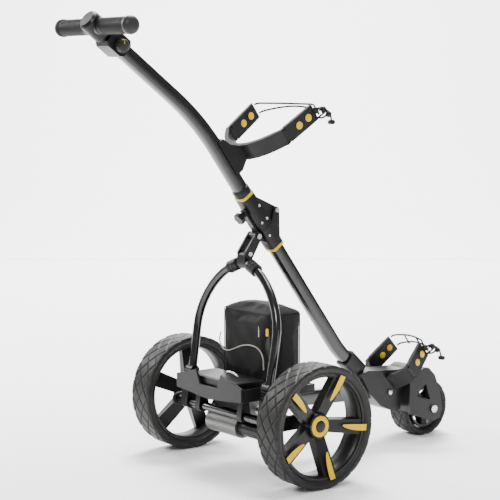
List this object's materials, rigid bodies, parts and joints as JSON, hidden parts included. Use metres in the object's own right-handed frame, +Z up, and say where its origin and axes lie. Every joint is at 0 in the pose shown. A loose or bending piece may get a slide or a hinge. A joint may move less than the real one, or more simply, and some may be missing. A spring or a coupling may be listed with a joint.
{
  "type": "electric golf trolley",
  "caption": "Folding electric golf trolley with a curved handle shaft, two bag cradles, a battery bag on a rear tray and a geared rear axle.",
  "frame": {"origin": "on the ground, midway between the rear wheels, straight below their axle", "axes": "+Z up, +Y the direction of travel, +X the trolley's right side"},
  "size_m": [0.5954, 1.1174, 1.0985],
  "materials": {
    "black_tube": "gloss black paint",
    "black_plastic": "satin moulded",
    "rubber": "matt moulded",
    "yellow": "gloss moulded",
    "steel": "plated",
    "cast_metal": "as cast",
    "cloth": "woven",
    "cord": "braided",
    "grey_lead": "satin"
  },
  "bodies": {
    "lower_frame": {"lower_tube": "black_tube", "hinge_shell_lower": "black_plastic", "hinge_ring_lower": "yellow", "hinge_pin": "steel", "link_bolt": "steel", "rear_rail": "black_tube", "gearbox_half_left": "cast_metal", "gearbox_half_right": "cast_metal", "gearbox_bearing_left": "steel", "gearbox_bearing_right": "steel", "motor": "black_plastic", "axle_hanger_left": "black_plastic", "axle_hanger_right": "black_plastic", "battery_tray": "black_plastic", "tray_clamp_left": "black_plastic", "tray_clamp_right": "black_plastic", "controller_box": "black_plastic", "lower_beam": "black_tube", "beam_pivot_bolt": "steel", "front_bracket": "black_plastic", "front_fork": "black_plastic", "front_axle": "steel", "lower_bungee": "cord"},
    "upper_frame": {"upper_tube": "black_tube", "hinge_shell_upper": "black_plastic", "hinge_ring_upper": "yellow", "upper_cradle": "black_plastic", "handle_bar": "black_tube", "handle_clamp": "black_plastic", "grip_left": "rubber", "grip_right": "rubber", "control_box": "black_plastic", "upper_bungee": "cord"},
    "lock": {"lock_knob": "black_plastic"},
    "speed_dial": {"speed_knob": "black_plastic"},
    "button": {"power_button": "yellow"},
    "upper_left_pad": {"upper_pad_left": "rubber"},
    "upper_right_pad": {"upper_pad_right": "rubber"},
    "lower_left_pad": {"lower_pad_left": "rubber"},
    "lower_right_pad": {"lower_pad_right": "rubber"},
    "arch": {"arch_knuckle": "black_plastic", "knuckle_bolt": "steel", "arch_leg_left": "black_tube", "arch_leg_right": "black_tube", "leg_foot_left": "black_plastic", "leg_foot_right": "black_plastic"},
    "drive": {"drive_axle": "steel", "drive_gear": "steel", "rear_rim_left": "black_plastic", "rear_rim_right": "black_plastic", "rear_tyre_left": "rubber", "rear_tyre_right": "rubber", "hub_cap_left": "yellow", "hub_cap_right": "yellow"},
    "pinion": {"motor_pinion": "steel"},
    "front_wheel": {"front_rim": "black_plastic", "front_tyre": "rubber"},
    "battery": {"battery_bag": "cloth", "battery_pack": "black_plastic", "battery_lead": "grey_lead"}
  },
  "joints": [
    {"name": "upper_fold", "type": "hinge", "parent": "lower_frame", "child": "upper_frame", "pos_m": [0, 0.07979, 0.62869], "axis": [1, 0, 0], "range_deg": [-130, 0]},
    {"name": "lock_knob_turn", "type": "hinge", "parent": "lower_frame", "child": "lock", "pos_m": [0, -0.01106, 0.62077], "axis": [0, 0.8059, 0.592], "continuous": true},
    {"name": "speed_knob_turn", "type": "hinge", "parent": "upper_frame", "child": "speed_dial", "pos_m": [0.0255, -0.37742, 1.0216], "axis": [1, 0, 0], "range_deg": [-270, 0]},
    {"name": "power_button_press", "type": "slide", "parent": "upper_frame", "child": "button", "axis": [0, -0.6046, -0.7965], "range_m": [0, 0.0018], "stiffness_N_per_m": 400},
    {"name": "arch_fold", "type": "hinge", "parent": "lower_frame", "child": "arch", "pos_m": [0, -0.067, 0.143], "axis": [1, 0, 0], "range_deg": [0, 85]},
    {"name": "drive_axle_spin", "type": "hinge", "parent": "lower_frame", "child": "drive", "pos_m": [0, 0, 0.146], "axis": [1, 0, 0], "continuous": true},
    {"name": "motor_pinion_spin", "type": "hinge", "parent": "lower_frame", "child": "pinion", "pos_m": [0, -0.04856, 0.10941], "axis": [1, 0, 0], "continuous": true},
    {"name": "front_wheel_spin", "type": "hinge", "parent": "lower_frame", "child": "front_wheel", "pos_m": [0, 0.58, 0.0755], "axis": [1, 0, 0], "continuous": true},
    {"name": "battery_lift", "type": "slide", "parent": "lower_frame", "child": "battery", "axis": [0, 0, 1], "range_m": [0, 0.06]},
    {"name": "upper_pad_left_swing", "type": "hinge", "parent": "upper_frame", "child": "upper_left_pad", "pos_m": [-0.105, 0.03453, 0.81379], "axis": [0, -0.5793, 0.8151], "range_deg": [-15, 20]},
    {"name": "upper_pad_right_swing", "type": "hinge", "parent": "upper_frame", "child": "upper_right_pad", "pos_m": [0.105, 0.03453, 0.81379], "axis": [0, 0.5793, -0.8151], "range_deg": [-15, 20]},
    {"name": "lower_pad_left_swing", "type": "hinge", "parent": "lower_frame", "child": "lower_left_pad", "pos_m": [-0.0735, 0.47903, 0.18634], "axis": [0, -0.673, 0.7396], "range_deg": [-15, 20]},
    {"name": "lower_pad_right_swing", "type": "hinge", "parent": "lower_frame", "child": "lower_right_pad", "pos_m": [0.0735, 0.47903, 0.18634], "axis": [0, 0.673, -0.7396], "range_deg": [-15, 20]}
  ],
  "couplings": [
    {"joint": "motor_pinion_spin", "follows": "drive_axle_spin", "ratio": -2.1667}
  ]
}
